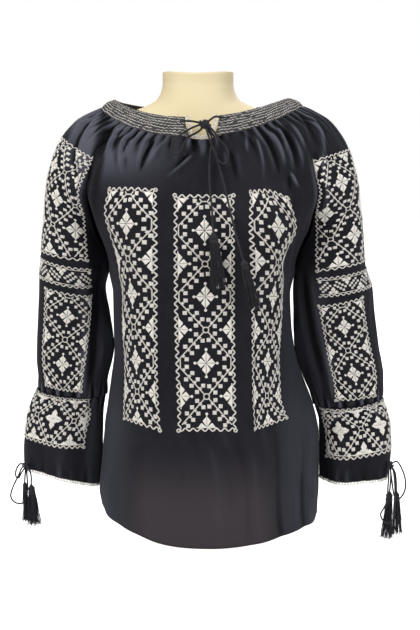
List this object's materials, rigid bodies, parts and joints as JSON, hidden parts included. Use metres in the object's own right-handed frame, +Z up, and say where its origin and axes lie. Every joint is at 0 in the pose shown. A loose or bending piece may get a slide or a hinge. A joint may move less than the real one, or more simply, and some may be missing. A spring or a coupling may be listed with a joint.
{
  "type": "romanian ie blouse on a limbless dress form",
  "caption": "Loose raglan blouse gathered into a smocked neckband, with flounced sleeves and tasselled ties, worn by a plain torso form with a flat foot.",
  "frame": {"origin": "centre of the flat foot of the dress form, on the surface it stands on", "axes": "+Z up, -Y the wearer's front, +X the wearer's left"},
  "size_m": [0.5542, 0.2586, 0.655],
  "materials": {
    "black_cotton": "matt black cotton voile with a faint blue cast",
    "grey_smocking": "black cotton covered by rows of grey stitches",
    "cream_thread": "soft cream cotton thread",
    "black_cord": "twisted black cotton cord",
    "ivory_form": "smooth ivory, softly lit"
  },
  "bodies": {
    "root": {"back_panel": "black_cotton", "dress_form": "ivory_form", "front_panel": "black_cotton", "left_flounce": "black_cotton", "left_flounce_edging": "cream_thread", "left_sleeve": "black_cotton", "left_sleeve_end_back": "black_cord", "left_sleeve_end_front": "black_cord", "left_sleeve_inner_loop": "black_cord", "left_sleeve_knot": "black_cord", "left_sleeve_outer_loop": "black_cord", "left_sleeve_tassel_back": "black_cord", "left_sleeve_tassel_front": "black_cord", "neck_end_left": "black_cord", "neck_end_right": "black_cord", "neck_knot": "black_cord", "neck_loop_left": "black_cord", "neck_loop_right": "black_cord", "neck_tassel_left": "black_cord", "neck_tassel_right": "black_cord", "neck_tie_left": "black_cord", "neck_tie_right": "black_cord", "neckband": "grey_smocking", "right_flounce": "black_cotton", "right_flounce_edging": "cream_thread", "right_sleeve": "black_cotton", "right_sleeve_big_loop": "black_cord", "right_sleeve_end_back": "black_cord", "right_sleeve_end_front": "black_cord", "right_sleeve_knot": "black_cord", "right_sleeve_small_loop": "black_cord", "right_sleeve_tassel_back": "black_cord", "right_sleeve_tassel_front": "black_cord", "slit_edging": "cream_thread"}
  },
  "joints": []
}
